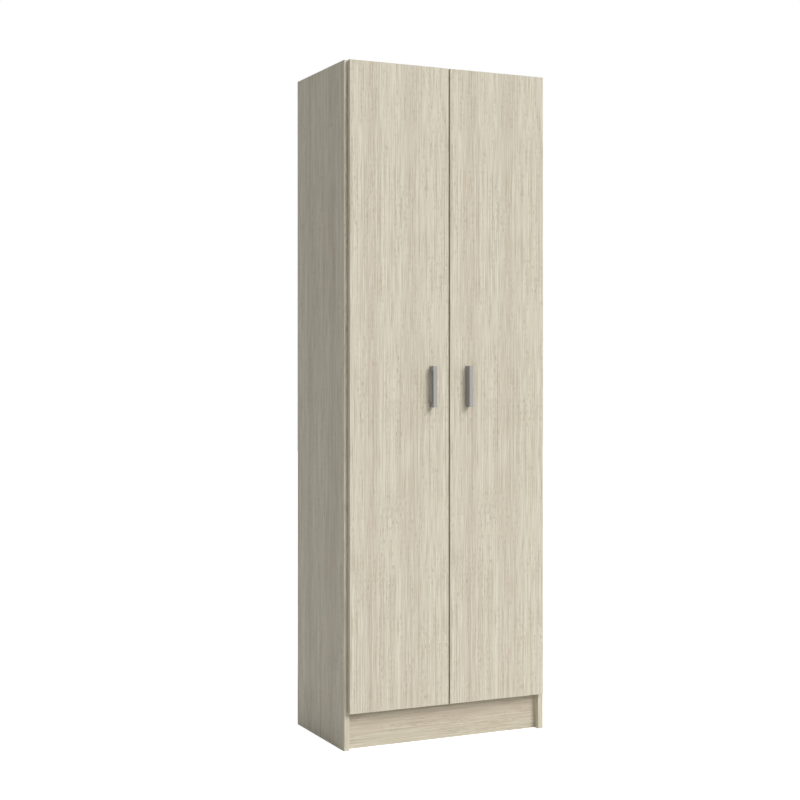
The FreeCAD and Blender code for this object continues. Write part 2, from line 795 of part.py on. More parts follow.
# Hinges. A cup sunk in the door holds a pin close to the door's edge. An arm turns on that pin and
# bends round the door's corner, so the door swings about one fixed axis without touching the side panel.
axis_x = door_edge_x + s.hinge_axis_across
axis_y = door_back_y - s.hinge_axis_depth
plate_low_x = -inner_x
plate_high_x = plate_low_x + s.plate_thickness
plate_row_y = carcass_y + s.pin_row_inset
arm_end_y = carcass_y + s.arm_end
arm_screw_y = arm_end_y - s.arm_screw_inset
adjuster_y = arm_end_y - s.adjuster_hole_inset


def hinge_cup(number, level):
    """A pressed cup with a rim and two screw wings, and the cross hole for the pin in its wall."""
    name = f"hinge_cup_{number}"
    thick = s.flange_thickness
    floor_y = door_back_y - s.cup_depth
    tall = s.cup_depth + thick
    wall = rod(name + "_wall", s.cup_radius, (cup_x, floor_y, level), "y", tall, CUP_SIDES)
    rim = rod(name + "_rim", s.flange_radius, (cup_x, door_back_y, level), "y", thick, CUP_SIDES)
    bar_low = (wing_x - s.wing_radius, door_back_y, level - s.wing_reach)
    bar_high = (wing_x + s.wing_radius, door_back_y + thick, level + s.wing_reach)
    pieces = [wall, rim, box(name + "_bar", bar_low, bar_high)]
    hollow_start = (cup_x, floor_y + s.cup_floor, level)
    tools = [rod(name + "_hollow", s.cup_radius - s.cup_wall, hollow_start, "y", tall, CUP_SIDES)]
    pin_start = (axis_x, axis_y, level - s.cup_radius)
    pin_hole_radius = (s.hinge_pin_radius + s.fit_clearance) * ROUND_IN_EIGHT_SHARE
    tools.append(rod(name + "_pin_hole", pin_hole_radius, pin_start, "z", s.cup_radius * 2, WING_SIDES))
    for letter, sign in SIDES_OF_A_HINGE:
        row = level + s.wing_reach * sign
        wing_start = (wing_x, door_back_y, row)
        pieces.append(rod(f"{name}_wing_{letter}", s.wing_radius, wing_start, "y", thick, WING_SIDES))
        start = (wing_x, door_back_y - s.overrun, row)
        through = thick + s.overrun * 2
        radius = s.cup_screw_radius + s.fit_clearance
        tools.append(rod(f"{name}_screw_hole_{letter}", radius, start, "y", through, HIDDEN_SIDES))
    return cut(name, fuse(name + "_solid", pieces), tools)


def hinge_cups():
    cups = [hinge_cup(number, level) for number, level in enumerate(hinge_heights)]
    return group("left_hinge_cups", cups)


def hinge_pins():
    pins = []
    for number, level in enumerate(hinge_heights):
        start = (axis_x, axis_y, level - s.hinge_pin_half_length)
        pins.append(rod(f"hinge_pin_{number}", s.hinge_pin_radius, start, "z", s.hinge_pin_half_length * 2))
    return group("left_hinge_pins", pins)


def cup_screws():
    screws = []
    head_y = door_back_y + s.flange_thickness
    for number, level in enumerate(hinge_heights):
        for letter, sign in SIDES_OF_A_HINGE:
            name = f"cup_screw_{number}_{letter}"
            row = level + s.wing_reach * sign
            start = (wing_x, door_back_y - s.cup_screw_length, row)
            length = s.cup_screw_length + s.flange_thickness
            shank = rod(name + "_shank", s.cup_screw_radius, start, "y", length, HIDDEN_SIDES)
            head_start = (wing_x, head_y, row)
            head_height = s.cup_screw_head_height
            head = rod(name + "_head", s.cup_screw_head_radius, head_start, "y", head_height, WING_SIDES)
            screws.append(fuse(name, [shank, head]))
    return group("left_cup_screws", screws)


def arm_strap(name, level):
    """The bent strap: from the eye on the pin, round the door's corner, to the side panel. Its bends
    are flats across the corners."""
    body = doc.addObject("PartDesign::Body", name)
    place(body, (axis_x, axis_y, level))
    thick = s.arm_thickness
    half_thick = thick * HALF_SHARE
    bend = s.arm_bend
    outside = bend + thick
    leg_in = s.arm_reach
    leg_out = leg_in + thick
    under = s.hinge_axis_depth + s.arm_door_clearance
    over = under + thick
    wall_out = plate_high_x - axis_x
    wall_in = wall_out + thick
    end = arm_end_y - axis_y
    points = [
        (ZERO, -half_thick),
        (leg_out - outside, -half_thick),
        (leg_out, outside - half_thick),
        (leg_out, over - outside),
        (leg_out - outside, over),
        (wall_in + bend, over),
        (wall_in, over + bend),
        (wall_in, end),
        (wall_out, end),
        (wall_out, under + outside),
        (wall_out + outside, under),
        (leg_in - bend, under),
        (leg_in, under - bend),
        (leg_in, half_thick + bend),
        (leg_in - bend, half_thick),
        (ZERO, half_thick),
    ]
    sketch = sketch_outline(body, name + "_outline", "XY_Plane", points)
    body.Tip = pad(body, name + "_pad", sketch, s.arm_width, symmetric=True)
    return body


def hinge_arm(number, level):
    """The bent strap with its eye, and the channel that clamps on the mounting plate."""
    name = f"hinge_arm_{number}"
    half_width = s.arm_width * HALF_SHARE
    strap = arm_strap(name + "_strap", level)
    eye_start = (axis_x, axis_y, level - half_width)
    eye = rod(name + "_eye", s.eye_radius, eye_start, "z", s.arm_width, WING_SIDES)
    half_channel = s.channel_width * HALF_SHARE
    channel_low = (plate_high_x, carcass_y + s.channel_start, level - half_channel)
    channel_high = (plate_high_x + s.arm_thickness + s.channel_lip, arm_end_y, level + half_channel)
    channel = box(name + "_channel", channel_low, channel_high)
    trough_low_x = plate_high_x + s.arm_thickness
    half_trough = half_channel - s.channel_wall
    trough_low = (trough_low_x, carcass_y + s.channel_start - s.overrun, level - half_trough)
    trough_high_x = trough_low_x + s.channel_lip + s.overrun
    trough_high = (trough_high_x, arm_end_y + s.overrun, level + half_trough)
    open_channel = cut(name + "_open_channel", channel, [box(name + "_trough", trough_low, trough_high)])
    solid = fuse(name + "_solid", [strap, eye, open_channel])
    axis_start = (axis_x, axis_y, level - s.arm_width)
    pin_hole_radius = s.hinge_pin_radius + s.fit_clearance
    tools = [rod(name + "_pin_hole", pin_hole_radius, axis_start, "z", s.arm_width * 2)]
    through = s.arm_thickness + s.overrun * 2
    for label, row in (("fixing", arm_screw_y), ("adjuster", adjuster_y)):
        start = (plate_high_x - s.overrun, row, level)
        radius = s.arm_screw_radius + s.joint_clearance
        tools.append(rod(f"{name}_{label}_hole", radius, start, "x", through, HIDDEN_SIDES))
    return cut(name, solid, tools)


def hinge_arms():
    arms = [hinge_arm(number, level) for number, level in enumerate(hinge_heights)]
    return group("left_hinge_arms", arms)


def mounting_plate(number, level):
    """A cross-shaped plate: a bar under the arm and two wings with the screw holes."""
    name = f"mounting_plate_{number}"
    half_width = s.plate_width * HALF_SHARE
    bar_low = (plate_low_x, carcass_y + s.plate_start, level - half_width)
    bar_high = (plate_high_x, arm_end_y, level + half_width)
    half_spacing = s.plate_hole_spacing * HALF_SHARE
    wing_low = (plate_low_x, plate_row_y - s.plate_wing_radius, level - half_spacing)
    wing_high = (plate_high_x, plate_row_y + s.plate_wing_radius, level + half_spacing)
    pieces = [box(name + "_bar", bar_low, bar_high), box(name + "_cross", wing_low, wing_high)]
    thick = s.plate_thickness
    tools = []
    for letter, sign in SIDES_OF_A_HINGE:
        row = level + half_spacing * sign
        wing_start = (plate_low_x, plate_row_y, row)
        wing_radius = s.plate_wing_radius
        pieces.append(rod(f"{name}_wing_{letter}", wing_radius, wing_start, "x", thick, WING_SIDES))
        hole_start = (plate_low_x - s.overrun, plate_row_y, row)
        through = thick + s.overrun * 2
        hole_radius = s.plate_screw_radius + s.fit_clearance
        tools.append(rod(f"{name}_hole_{letter}", hole_radius, hole_start, "x", through, HIDDEN_SIDES))
    screw_start = (plate_low_x + s.plate_wing_gap, arm_screw_y, level)
    screw_radius = s.arm_screw_radius + s.fit_clearance
    tools.append(rod(name + "_screw_hole", screw_radius, screw_start, "x", thick, HIDDEN_SIDES))
    return cut(name, fuse(name + "_solid", pieces), tools)


def mounting_plates():
    plates = [mounting_plate(number, level) for number, level in enumerate(hinge_heights)]
    return group("left_mounting_plates", plates)


def plate_screws():
    screws = []
    for number, level in enumerate(hinge_heights):
        for letter, sign in SIDES_OF_A_HINGE:
            name = f"plate_screw_{number}_{letter}"
            row = level + s.plate_hole_spacing * (HALF_SHARE * sign)
            shank_start = (plate_low_x - s.plate_screw_depth, plate_row_y, row)
            length = s.plate_screw_depth + s.plate_thickness
            shank = rod(name + "_shank", s.plate_screw_radius, shank_start, "x", length, HIDDEN_SIDES)
            head_start = (plate_high_x, plate_row_y, row)
            head_height = s.plate_screw_head_height
            head = rod(name + "_head", s.plate_screw_head_radius, head_start, "x", head_height, WING_SIDES)
            screws.append(fuse(name, [shank, head]))
    return group("left_plate_screws", screws)


def arm_screws():
    screws = []
    for number, level in enumerate(hinge_heights):
        name = f"arm_screw_{number}"
        head_x = plate_high_x + s.arm_thickness
        shank_x = plate_low_x + s.plate_wing_gap + s.joint_clearance
        shank_start = (shank_x, arm_screw_y, level)
        shank = rod(name + "_shank", s.arm_screw_radius, shank_start, "x", head_x - shank_x, HIDDEN_SIDES)
        head_start = (head_x, arm_screw_y, level)
        head_height = s.arm_screw_head_height
        head = rod(name + "_head", s.arm_screw_head_radius, head_start, "x", head_height, WING_SIDES)
        screws.append(fuse(name, [shank, head]))
    return group("left_arm_screws", screws)


def build():
    """Every piece of the cabinet, each under its own name."""
    mirrored = [
        side_panel(),
        door(),
        handle(),
        handle_screws(),
        door_bumpers(),
        hinge_cups(),
        hinge_pins(),
        cup_screws(),
        hinge_arms(),
        mounting_plates(),
        plate_screws(),
        arm_screws(),
    ]
    pieces = list(mirrored)
    for source in mirrored:
        pieces.append(mirror(source.Name.replace("left_", "right_", 1), source))
    shelf_back_y = strip_front_y - s.joint_clearance
    bottom_grooves = [(floor_z - s.groove_depth, floor_z + s.overrun)]
    pieces.append(top_panel())
    pieces.append(fixed_board("bottom_panel", "bottom", bottom_z, back_y, bottom_grooves))
    pieces.append(fixed_board("fixed_shelf", "shelf", s.fixed_shelf_height, shelf_back_y))
    pieces.append(kickboard())
    for shelf_name, underside in shelf_undersides.items():
        pieces.append(loose_shelf(shelf_name + "_shelf", underside))
    pieces.extend(back_sheets())
    pieces.append(back_strip())
    pieces.extend(board_fasteners())
    pieces.append(kickboard_fasteners())
    pieces.append(shelf_pins())
    pieces.append(wall_bracket())
    pieces.append(bracket_screw())
    return pieces


def check(pieces):
    """Stops the build where an object failed or a piece is not sound."""
    for thing in doc.Objects:
        if "Invalid" in thing.State or "Error" in thing.State:
            raise RuntimeError(f"{thing.Name} failed: {thing.State}")
    for piece in pieces:
        if piece.Shape.isNull() or not piece.Shape.isValid() or piece.Shape.Volume <= 0:
            raise RuntimeError(f"{piece.Label} is not a sound solid")


def write(pieces):
    os.makedirs("parts", exist_ok=True)
    for piece in pieces:
        piece.Shape.exportStep(os.path.join("parts", piece.Label + ".step"))


pieces = build()
doc.recompute()
check(pieces)
write(pieces)
print(len(pieces), "pieces,", sum(len(piece.Shape.Solids) for piece in pieces), "solids")
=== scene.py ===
import math

import bpy
from mathutils import Matrix, Vector


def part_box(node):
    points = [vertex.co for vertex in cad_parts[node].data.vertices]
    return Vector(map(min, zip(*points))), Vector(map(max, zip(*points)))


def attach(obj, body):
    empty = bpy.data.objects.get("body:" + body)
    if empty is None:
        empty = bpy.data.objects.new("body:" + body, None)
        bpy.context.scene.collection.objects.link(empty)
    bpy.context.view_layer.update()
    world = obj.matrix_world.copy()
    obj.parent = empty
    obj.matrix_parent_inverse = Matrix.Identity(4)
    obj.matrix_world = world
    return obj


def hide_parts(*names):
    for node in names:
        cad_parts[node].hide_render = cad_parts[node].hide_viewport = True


# A utility cabinet of pale oak laminate in a plain white studio. Lengths are in metres.
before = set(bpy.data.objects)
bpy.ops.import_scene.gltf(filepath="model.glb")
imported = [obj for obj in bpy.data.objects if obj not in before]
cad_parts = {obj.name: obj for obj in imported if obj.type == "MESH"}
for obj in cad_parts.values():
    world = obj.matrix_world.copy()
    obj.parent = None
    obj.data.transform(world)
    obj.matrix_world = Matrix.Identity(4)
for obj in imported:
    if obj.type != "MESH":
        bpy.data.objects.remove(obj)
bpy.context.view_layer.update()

# The photograph's side in pixels and the camera's sensor in millimetres
IMAGE_SIDE = 800
SENSOR_WIDTH = 36

# The camera that the photograph was seen through: its place, its turn to the right of straight
# ahead, its focal length and its optical centre, the last two in pixels
CAMERA_PLACE = (-1.79864, -3.94820, 0.99500)
CAMERA_TURN = 0.4681
FOCAL_PIXELS = 1561.96
CENTRE_ACROSS = 486.19
CENTRE_DOWN = 369.12


def add_camera():
    """A level camera with upright lines kept upright by the shift."""
    data = bpy.data.cameras.new("camera")
    data.sensor_width = SENSOR_WIDTH
    data.lens = SENSOR_WIDTH * FOCAL_PIXELS / IMAGE_SIDE
    data.shift_x = (IMAGE_SIDE / 2 - CENTRE_ACROSS) / IMAGE_SIDE
    data.shift_y = (CENTRE_DOWN - IMAGE_SIDE / 2) / IMAGE_SIDE
    camera = bpy.data.objects.new("camera", data)
    camera.location = CAMERA_PLACE
    camera.rotation_euler = (math.pi / 2, 0, -CAMERA_TURN)
    bpy.context.scene.collection.objects.link(camera)
    bpy.context.scene.camera = camera


def linear(level):
    """A channel of 0 to 255 as it is seen, as the light that it stands for."""
    share = level / 255
    return share / 12.92 if share <= 0.04045 else ((share + 0.055) / 1.055) ** 2.4


def colour(red, green, blue):
    return (linear(red), linear(green), linear(blue), 1)


class Nodes:
    """Short ways to add and join the nodes of one material or world."""

    def __init__(self, tree):
        self.tree = tree
        tree.nodes.clear()

    def add(self, kind, **values):
        node = self.tree.nodes.new(kind)
        for name, value in values.items():
            setattr(node, name, value)
        return node

    def join(self, source, target):
        self.tree.links.new(source, target)

    def put(self, socket, value):
        """Sets a socket to a number, or joins it to another node's output."""
        if isinstance(value, bpy.types.NodeSocket):
            self.join(value, socket)
        else:
            socket.default_value = value

    def place(self, scale, offset=(0, 0, 0)):
        """The place in the part's own frame, moved and then stretched."""
        coordinates = self.add("ShaderNodeTexCoord")
        shift = self.add("ShaderNodeVectorMath", operation="SUBTRACT")
        self.join(coordinates.outputs["Object"], shift.inputs[0])
        shift.inputs[1].default_value = offset
        stretch = self.add("ShaderNodeVectorMath", operation="MULTIPLY")
        self.join(shift.outputs["Vector"], stretch.inputs[0])
        stretch.inputs[1].default_value = scale
        return stretch.outputs["Vector"]

    def noise(self, place, detail=2, roughness=0.5):
        node = self.add("ShaderNodeTexNoise")
        self.join(place, node.inputs["Vector"])
        node.inputs["Scale"].default_value = 1
        node.inputs["Detail"].default_value = detail
        node.inputs["Roughness"].default_value = roughness
        return node.outputs["Fac"]

    def math(self, operation, first, second=0.0):
        node = self.add("ShaderNodeMath", operation=operation)
        for socket, value in zip(node.inputs, (first, second)):
            self.put(socket, value)
        return node.outputs["Value"]

    def span(self, value, low, high, to_low=0.0, to_high=1.0):
        """Takes low and high to two new values, smoothly and no further."""
        node = self.add("ShaderNodeMapRange", interpolation_type="SMOOTHSTEP")
        self.join(value, node.inputs["Value"])
        node.inputs["From Min"].default_value = low
        node.inputs["From Max"].default_value = high
        node.inputs["To Min"].default_value = to_low
        node.inputs["To Max"].default_value = to_high
        return node.outputs["Result"]

    def mix(self, factor, first, second):
        node = self.add("ShaderNodeMix", data_type="RGBA")
        self.put(node.inputs["Factor"], factor)
        self.put(node.inputs[6], first)
        self.put(node.inputs[7], second)
        return node.outputs[2]

    def surface(self, base, roughness, metallic=0.0, height=None, depth=0.0001, strength=0.5,
                specular=0.5):
        """The shader that everything ends in, with a bump where a height is given."""
        shader = self.add("ShaderNodeBsdfPrincipled")
        self.put(shader.inputs["Base Color"], base)
        self.put(shader.inputs["Roughness"], roughness)
        shader.inputs["Metallic"].default_value = metallic
        shader.inputs["Specular IOR Level"].default_value = specular
        if height is not None:
            bump = self.add("ShaderNodeBump")
            bump.inputs["Strength"].default_value = strength
            bump.inputs["Distance"].default_value = depth
            self.join(height, bump.inputs["Height"])
            self.join(bump.outputs["Normal"], shader.inputs["Normal"])
        output = self.add("ShaderNodeOutputMaterial")
        self.join(shader.outputs["BSDF"], output.inputs["Surface"])


def new_material(name):
    material = bpy.data.materials.new(name)
    material.use_nodes = True
    return material, Nodes(material.node_tree)


def along_grain(grain, across, along):
    """A stretch for a pattern with fine steps across the grain and long ones along it."""
    return tuple(along if axis == grain else across for axis in "xyz")


# Oak laminate, as seen in plain light
OAK_CREAM = colour(219, 213, 194)
OAK_WARM = colour(208, 197, 180)
OAK_DARK = colour(184, 172, 150)
OAK_PORE = colour(168, 154, 131)
OAK_LIGHT = colour(231, 226, 210)

# Steps per metre of each layer of the grain, across it and along it
FLAME_STEPS = (9, 0.8)
LINE_STEPS = (640, 1.8)
STREAK_STEPS = (760, 11)
PORE_STEPS = (1000, 60)
PATCH_STEPS = (40, 6)
WAVER_STEPS = (4, 1.7)
FLAME_RINGS = 80

# The decor repeats across the grain. Each repeat has warm bands: middle, half width and strength.
DECOR_WIDTH = 0.2838
WARM_BANDS = ((0.062, 0.036, 1.0), (0.178, 0.050, 0.8))
WAVER = 0.03


def oak(name, grain="z", offset=(0, 0, 0), painted_shade=0.0):
    """Pale oak laminate whose grain runs along one axis, counted from an offset. A painted shade of 0
    leaves its colours as they are; more mixes them towards the dark grain colour as painted shade."""
    material, nodes = new_material(name)

    def layer(steps, detail, roughness):
        return nodes.noise(nodes.place(along_grain(grain, *steps), offset), detail, roughness)

    base = nodes.mix(warm_bands(nodes, grain, offset, layer(WAVER_STEPS, 2, 0.5)), OAK_CREAM, OAK_WARM)
    rings = nodes.math("SINE", nodes.math("MULTIPLY", layer(FLAME_STEPS, 1, 0.4), FLAME_RINGS))
    base = nodes.mix(nodes.span(rings, 0.2, 1.0, 0, 0.12), base, OAK_DARK)
    lines = layer(LINE_STEPS, 1, 0.5)
    base = nodes.mix(nodes.span(lines, 0.5, 0.7, 0, 0.85), base, OAK_DARK)
    base = nodes.mix(nodes.span(lines, 0.5, 0.3, 0, 0.7), base, OAK_LIGHT)
    streaks = layer(STREAK_STEPS, 1, 0.5)
    base = nodes.mix(nodes.span(streaks, 0.5, 0.72, 0, 0.75), base, OAK_DARK)
    base = nodes.mix(nodes.span(streaks, 0.5, 0.3, 0, 0.55), base, OAK_LIGHT)
    pores = nodes.span(layer(PORE_STEPS, 1, 0.5), 0.54, 0.66)
    patches = nodes.span(layer(PATCH_STEPS, 1, 0.5), 0.44, 0.6, 0.15, 0.85)
    pores = nodes.math("MULTIPLY", pores, patches)
    base = nodes.mix(nodes.math("MULTIPLY", pores, 0.8), base, OAK_PORE)
    # Painted shade: the whole laminate is mixed towards the dark grain colour
    base = nodes.mix(painted_shade, base, OAK_DARK)
    roughness = nodes.span(streaks, 0.3, 0.7, 0.46, 0.58)
    height = nodes.math("SUBTRACT", nodes.math("MULTIPLY", streaks, 0.5), pores)
    nodes.surface(base, roughness, height=height, depth=0.00012, strength=0.35, specular=0.2)
    return material


def warm_bands(nodes, grain, offset, waver):
    """How warm the laminate is: soft bands along the grain that waver a little."""
    weights = tuple(0 if axis == grain else 1 for axis in "xyz")
    across = nodes.add("ShaderNodeVectorMath", operation="DOT_PRODUCT")
    nodes.join(nodes.place((1, 1, 1), offset), across.inputs[0])
    across.inputs[1].default_value = weights
    bend = nodes.math("MULTIPLY", nodes.math("SUBTRACT", waver, 0.5), WAVER)
    place = nodes.math("ADD", across.outputs["Value"], bend)
    place = nodes.math("FLOORED_MODULO", place, DECOR_WIDTH)
    total = 0.0
    for middle, half, strength in WARM_BANDS:
        distance = nodes.math("ABSOLUTE", nodes.math("SUBTRACT", place, middle))
        total = nodes.math("ADD", nodes.span(distance, 0, half, strength, 0), total)
    return total


def dress(node_name, material):
    """Gives a CAD node its material."""
    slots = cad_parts[node_name].data.materials
    slots.clear()
    slots.append(material)


def satin_metal(name, tone, metallic, roughness):
    """Metal with fine lines brushed along the height."""
    material, nodes = new_material(name)
    lines = nodes.noise(nodes.place((2500, 2500, 40)), 2, 0.6)
    cloud = nodes.noise(nodes.place((60, 60, 60)), 2, 0.5)
    darker = tuple(channel * 0.82 for channel in tone[:3]) + (1,)
    base = nodes.mix(nodes.span(lines, 0.3, 0.7), darker, tone)
    rough = nodes.math("ADD", nodes.span(lines, 0.2, 0.8, roughness - 0.05, roughness + 0.05),
                       nodes.span(cloud, 0.3, 0.7, -0.03, 0.03))
    nodes.surface(base, rough, metallic, height=lines, depth=0.00002, strength=0.3)
    return material


def plated_metal(name, tone, roughness):
    """Pressed or cast metal with a soft cloudy plating."""
    material, nodes = new_material(name)
    cloud = nodes.noise(nodes.place((220, 220, 220)), 3, 0.6)
    grain = nodes.noise(nodes.place((1800, 1800, 1800)), 2, 0.5)
    darker = tuple(channel * 0.8 for channel in tone[:3]) + (1,)
    base = nodes.mix(nodes.span(cloud, 0.35, 0.65), darker, tone)
    rough = nodes.span(cloud, 0.3, 0.7, roughness - 0.06, roughness + 0.08)
    nodes.surface(base, rough, 1.0, height=grain, depth=0.00002, strength=0.3)
    return material


def hardboard(name):
    """Thin backing sheet: pale printed face with faint fibres."""
    material, nodes = new_material(name)
    fibres = nodes.noise(nodes.place((900, 900, 300)), 4, 0.7)
    cloud = nodes.noise(nodes.place((14, 14, 9)), 3, 0.6)
    base = nodes.mix(nodes.span(cloud, 0.3, 0.7), colour(214, 207, 193), colour(222, 216, 203))
    base = nodes.mix(nodes.span(fibres, 0.5, 0.8, 0, 0.5), base, colour(190, 178, 158))
    nodes.surface(base, nodes.span(fibres, 0.2, 0.8, 0.6, 0.75), height=fibres, depth=0.00008, specular=0.3)
    return material


def moulded(name, tone):
    """Plain moulded plastic with a fine spark-eroded grain."""
    material, nodes = new_material(name)
    grain = nodes.noise(nodes.place((1500, 1500, 1500)), 2, 0.5)
    cloud = nodes.noise(nodes.place((90, 90, 90)), 2, 0.5)
    darker = tuple(channel * 0.9 for channel in tone[:3]) + (1,)
    base = nodes.mix(nodes.span(cloud, 0.35, 0.65), darker, tone)
    nodes.surface(base, nodes.span(grain, 0.3, 0.7, 0.38, 0.5), height=grain, depth=0.00003, strength=0.3)
    return material


def beech(name):
    """Turned dowels with the grain along them."""
    material, nodes = new_material(name)
    grain = nodes.noise(nodes.place((60, 900, 900)), 3, 0.6)
    base = nodes.mix(nodes.span(grain, 0.35, 0.65), colour(205, 170, 128), colour(224, 193, 152))
    nodes.surface(base, nodes.span(grain, 0.3, 0.7, 0.55, 0.7), height=grain, depth=0.00005)
    return material


def dress_boards():
    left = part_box("left_door")[0]
    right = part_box("right_door")[0]
    dress("left_door", oak("oak_left_door", offset=(left.x, left.y, 0)))
    dress("right_door", oak("oak_right_door", offset=(right.x, right.y, 0)))
    upright = oak("oak_upright", offset=(0, 0.31, 0.4))
    for name in ("left_side_panel", "right_side_panel"):
        dress(name, upright)
    flat = oak("oak_flat", grain="x", offset=(0, 0, 0.2))
    for name in ("top_panel", "bottom_panel", "fixed_shelf", "lower_shelf", "upper_shelf", "top_shelf"):
        dress(name, flat)
    # The kickboard's oak is darkened as painted shade for its place under the doors' overhang
    dress("kickboard", oak("oak_kickboard", grain="x", offset=(0.7, 0.1, 0.9), painted_shade=0.3))
    sheet = hardboard("hardboard")
    for name in ("upper_back_panel", "lower_back_panel"):
        dress(name, sheet)


# Small hardware in fine meshes. Its lengths are in millimetres and its places are those of the
# left side. The right side is the mirror image.
MILLIMETRE = 0.001
SIDES = 24
SHARP_ANGLE = 35
TURNS = {
    "+x": Matrix.Rotation(math.pi / 2, 3, "Y"),
    "-x": Matrix.Rotation(-math.pi / 2, 3, "Y"),
    "+y": Matrix.Rotation(-math.pi / 2, 3, "X"),
    "+z": Matrix.Identity(3),
    "-z": Matrix.Rotation(math.pi, 3, "X"),
}
INNER_X = 280
DOOR_BACK_Y = -157.5

# Hinges: the cup with its flange and two screw wings, the pin, the plate and the arm
HINGE_LEVELS = (198.5, 949, 1699.5)
CUP_X = -265.5
RIM_RADIUS = 19
FLANGE = 1.2
WING_X = -256
WING_REACH = 24
WING_RADIUS = 5.5
HINGE_PIN_PLACE = (-279, -166.1)
PLATE_TOP_X = -277
PLATE_Y = -117.5
PLATE_REACH = 16
ARM_TOP_X = -275
ARM_SCREW_Y = -102.5

# Handle screws, bumpers, shelf pins and the wall bracket's screw
HANDLE_SCREW_X = -54.5
HANDLE_SCREW_LEVELS = (900.5, 996.5)
BUMPER_X = -22.2
BUMPER_LEVELS = (107.5, 1792.5)
PEG_ROWS = (-117.5, 147.5)
PEG_LEVELS = (497.45, 1192.45, 1487.45)
BRACKET_SCREW_PLACE = (0, 169.5, 1783)

# Screws: head radius, head height, shank radius, length under the head and pitch of the thread
CUP_SCREW = (3.4, 1.4, 1.7, 11.2, 1.2)
PLATE_SCREW = (3.8, 1.8, 2.5, 14, 1.4)
ARM_SCREW = (4, 2, 2, 5.4, 0.8)
HANDLE_SCREW = (4, 2, 2, 24, 0.9)
BRACKET_SCREW = (4, 2.2, 2, 13, 1.2)

# What all screws share: the core as a share of the shank, the rings in one turn of the thread, the
# head as shares of its radius and height, the recess's floor as a share of its top, and its depth,
# reach and half width as shares of the head
CORE_SHARE = 0.78
THREAD_STEPS = 4
HEAD_PROFILE = ((0.4, 0), (0.97, 0), (1, 0.25), (0.95, 0.62), (0.84, 0.88), (0.66, 1))
RECESS_FLOOR = 0.6
RECESS_DEPTH = 0.7
RECESS_REACH = 0.52
RECESS_HALF = 0.13


class Shell:
    """Points and faces that are gathered into one mesh."""

    def __init__(self):
        self.points = []
        self.faces = []

    def add(self, shape, origin, direction):
        """Adds a shape drawn about the z axis, turned so that its top points another way."""
        points, faces = shape
        start = len(self.points)
        self.points += [TURNS[direction] @ Vector(point) + Vector(origin) for point in points]
        self.faces += [tuple(start + corner for corner in face) for face in faces]

    def replace(self, node, body, slot, material, mirrored=False):
        """Makes the mesh stand for a CAD node."""
        sign = -1 if mirrored else 1
        points = [(x * sign * MILLIMETRE, y * MILLIMETRE, z * MILLIMETRE) for x, y, z in self.points]
        mesh = bpy.data.meshes.new(node + "_fine")
        mesh.from_pydata(points, [], [face[::sign] for face in self.faces])
        mesh.shade_smooth()
        mesh.set_sharp_from_angle(angle=math.radians(SHARP_ANGLE))
        mesh.materials.append(material)
        piece = bpy.data.objects.new(node + "_fine", mesh)
        bpy.context.scene.collection.objects.link(piece)
        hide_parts(node)
        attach(piece, body)


def circle(radius, height, angles):
    return [(radius * math.cos(angle), radius * math.sin(angle), height) for angle in angles]


def skin(rings, foot, top=None):
    """Quads between rings of points, closed at a point under them and, where one is given, above."""
    count = len(rings[0])
    points = [point for ring in rings for point in ring] + [foot]
    faces = []
    for ring in range(len(rings) - 1):
        for side in range(count):
            after = (side + 1) % count
            low, high = ring * count, (ring + 1) * count
            faces.append((low + side, low + after, high + after, high + side))
    foot_index = len(points) - 1
    faces += [(foot_index, (side + 1) % count, side) for side in range(count)]
    if top is not None:
        points.append(top)
        last = (len(rings) - 1) * count
        faces += [(foot_index + 1, last + side, last + (side + 1) % count) for side in range(count)]
    return points, faces


def even_angles(sides=SIDES):
    return [2 * math.pi * side / sides for side in range(sides)]


def turned(profile):
    """A shape turned from (radius, height) pairs that start and end on the axis."""
    rings = [circle(radius, height, even_angles()) for radius, height in profile[1:-1]]
    return skin(rings, (0, 0, profile[0][1]), (0, 0, profile[-1][1]))


def thread(core, crest, pitch, low, high):
    """Rings of a helical ridge from one height to another."""
    rings = []
    steps = int((high - low) / pitch * THREAD_STEPS)
    for step in range(steps + 1):
        height = low + (high - low) * step / steps
        ring = []
        for side, angle in enumerate(even_angles()):
            phase = (height / pitch - side / SIDES) % 1
            radius = core + (crest - core) * (1 - abs(2 * phase - 1))
            ring.append((radius * math.cos(angle), radius * math.sin(angle), height))
        rings.append(ring)
    return rings


def cross_recess(points, faces, ring_start, top, depth, reach, half):
    """Closes a flat round top with a cross recess that narrows to its floor."""
    corners = []
    for quarter in range(4):
        angle = quarter * math.pi / 2
        for across, along in ((reach, -half), (reach, half), (half, half)):
            corners.append((across * math.cos(angle) - along * math.sin(angle),
                            across * math.sin(angle) + along * math.cos(angle)))
    upper = len(points)
    points += [(x, y, top) for x, y in corners]
    lower = len(points)
    points += [(x * RECESS_FLOOR, y * RECESS_FLOOR, top - depth) for x, y in corners]
    count = len(corners)
    for corner in range(count):
        after = (corner + 1) % count
        faces.append((upper + corner, upper + after, lower + after, lower + corner))
    faces.append(tuple(range(lower, lower + count)))
    step = SIDES // 4
    for quarter in range(4):
        ring = [ring_start + (quarter * step + side) % SIDES for side in range(-1, step)]
        first = upper + quarter * 3
        last = upper + (quarter * 3 + 3) % count
        faces.append((first + 1, first, *ring[:3]))
        faces.append((first + 1, *ring[2:], last, first + 2))


